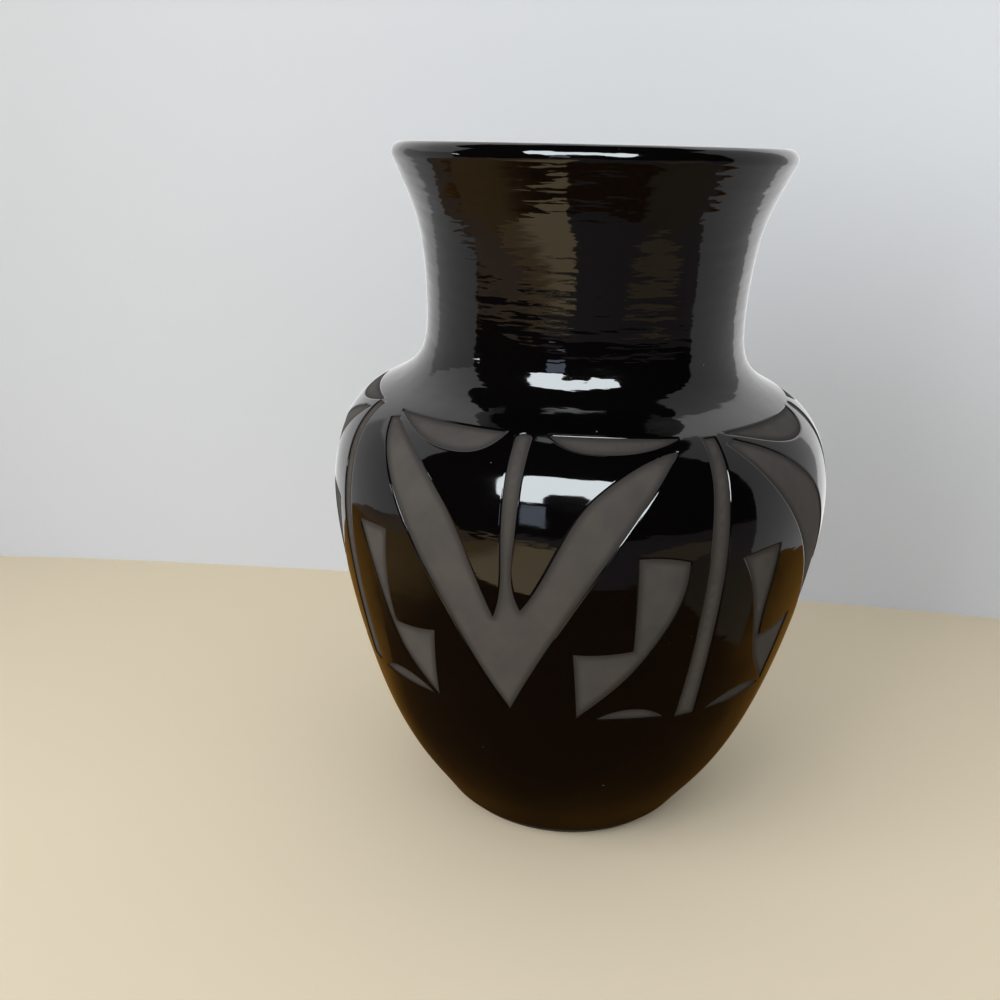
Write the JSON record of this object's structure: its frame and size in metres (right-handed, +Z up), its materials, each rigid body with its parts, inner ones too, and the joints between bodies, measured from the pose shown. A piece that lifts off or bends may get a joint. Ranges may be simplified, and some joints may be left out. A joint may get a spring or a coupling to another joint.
{
  "type": "pottery jar",
  "caption": "Round-bellied black pottery jar with a narrow neck, a flared lip and a band of matte ornament, for display or for holding dry things.",
  "frame": {"origin": "centre of the foot ring, on the surface that the jar stands on", "axes": "+Z up along the axis of the round body; -Y is the front of the ornament, near its front chevron, and +X is to the right of a viewer who faces it"},
  "size_m": [0.1308, 0.1307, 0.178],
  "materials": {
    "black_clay": "matte",
    "burnished_black": "polished",
    "matte_slip": "matte"
  },
  "bodies": {
    "root": {"base_bowl": "black_clay", "lower_wall": "black_clay", "belly_wall": "black_clay", "shoulder_wall": "black_clay", "neck_wall": "black_clay", "rim_coil": "black_clay", "gloss_coat": "burnished_black", "chevron_front": "matte_slip", "sickle_front_left": "matte_slip", "upper_crescent_front_left": "matte_slip", "lower_crescent_front_left": "matte_slip", "sickle_front_right": "matte_slip", "upper_crescent_front_right": "matte_slip", "lower_crescent_front_right": "matte_slip", "tall_bar_front_right": "matte_slip", "chevron_right": "matte_slip", "sickle_right_left": "matte_slip", "upper_crescent_right_left": "matte_slip", "lower_crescent_right_left": "matte_slip", "sickle_right_right": "matte_slip", "upper_crescent_right_right": "matte_slip", "lower_crescent_right_right": "matte_slip", "tall_bar_right_back": "matte_slip", "chevron_back": "matte_slip", "sickle_back_left": "matte_slip", "upper_crescent_back_left": "matte_slip", "lower_crescent_back_left": "matte_slip", "sickle_back_right": "matte_slip", "upper_crescent_back_right": "matte_slip", "lower_crescent_back_right": "matte_slip", "tall_bar_back_left": "matte_slip", "chevron_left": "matte_slip", "sickle_left_left": "matte_slip", "upper_crescent_left_left": "matte_slip", "lower_crescent_left_left": "matte_slip", "sickle_left_right": "matte_slip", "upper_crescent_left_right": "matte_slip", "lower_crescent_left_right": "matte_slip", "tall_bar_left_front": "matte_slip"}
  },
  "joints": []
}
